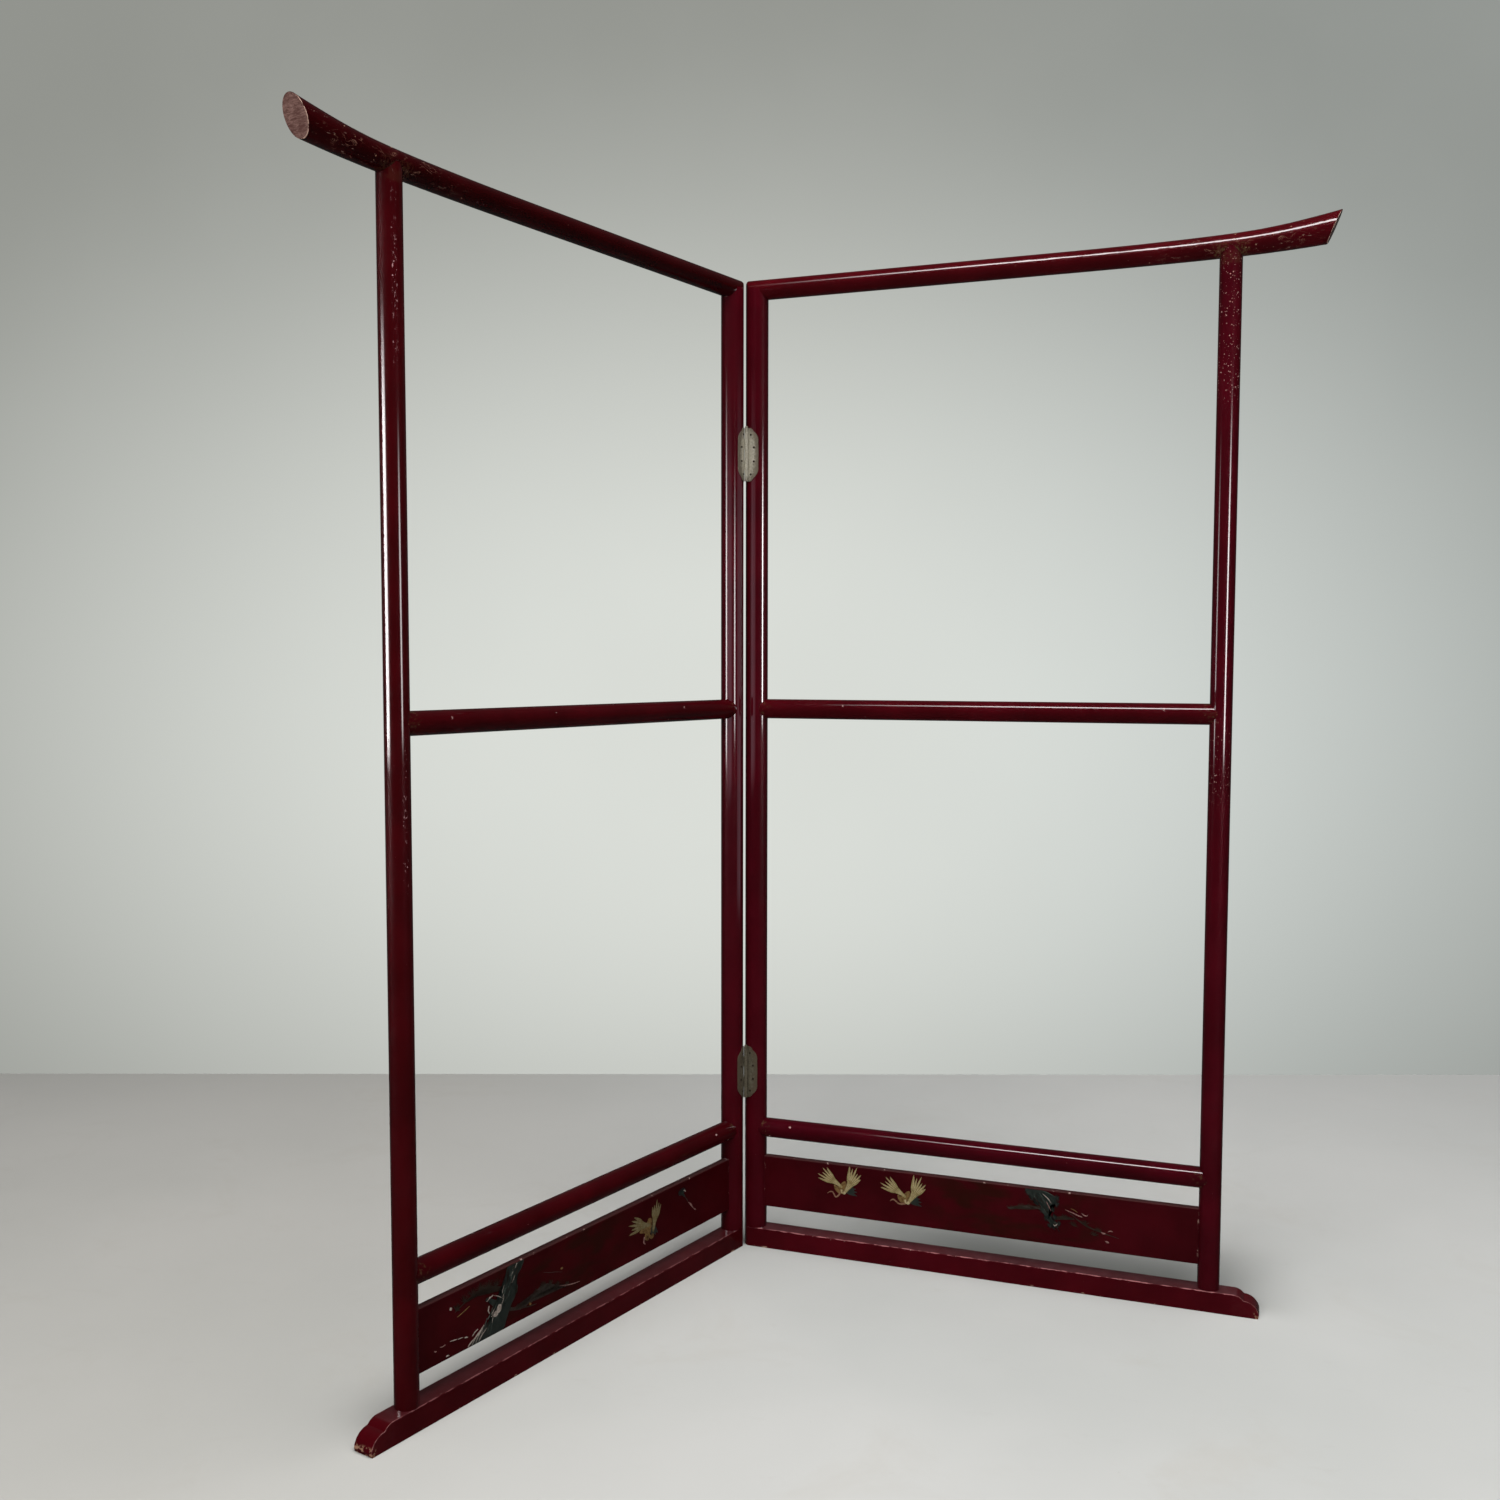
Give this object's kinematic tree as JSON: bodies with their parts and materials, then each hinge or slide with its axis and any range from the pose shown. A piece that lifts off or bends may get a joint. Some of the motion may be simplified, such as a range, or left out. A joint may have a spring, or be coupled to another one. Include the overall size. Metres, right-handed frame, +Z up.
{
  "type": "folding room divider screen",
  "caption": "Free-standing divider of hinged lacquered wood frames with open rails, a low painted board and upswept top rails, folding about a vertical axis.",
  "frame": {"origin": "on the floor, under the middle of the bounding box of the stand as it is opened", "axes": "+Z up; +X along the right leaf, away from the hinges; the left leaf runs 104 degrees from it towards -Y, so the fold opens towards +X and -Y"},
  "size_m": [1.1988, 0.9444, 1.7014],
  "materials": {
    "lacquer": "wood under glossy dark crimson lacquer, rubbed through to bare wood in small spots",
    "painted_board": "wood under dark crimson lacquer with a low-relief gold, green and black painted scene on the inside face",
    "hinge_metal": "nickel-plated sheet, dulled and yellowed, smooth",
    "nail_metal": "dark iron, worn"
  },
  "bodies": {
    "right_leaf": {"right_base_rail": "lacquer", "right_hinge_post": "lacquer", "right_lower_rail": "lacquer", "right_middle_rail": "lacquer", "right_outer_post": "lacquer", "right_painted_board": "painted_board", "right_top_rail": "lacquer", "upper_hinge_right_plate": "hinge_metal", "upper_hinge_right_nails": "nail_metal", "upper_hinge_pin": "hinge_metal", "lower_hinge_right_plate": "hinge_metal", "lower_hinge_right_nails": "nail_metal", "lower_hinge_pin": "hinge_metal"},
    "left_leaf": {"left_base_rail": "lacquer", "left_hinge_post": "lacquer", "left_lower_rail": "lacquer", "left_middle_rail": "lacquer", "left_outer_post": "lacquer", "left_painted_board": "painted_board", "left_top_rail": "lacquer", "upper_hinge_left_plate": "hinge_metal", "upper_hinge_left_nails": "nail_metal", "lower_hinge_left_plate": "hinge_metal", "lower_hinge_left_nails": "nail_metal"}
  },
  "joints": [
    {"name": "fold", "type": "hinge", "parent": "right_leaf", "child": "left_leaf", "pos_m": [-0.33564, 0.43089, 0.8475], "axis": [0, 0, 1], "range_deg": [-25.5, 104]}
  ]
}
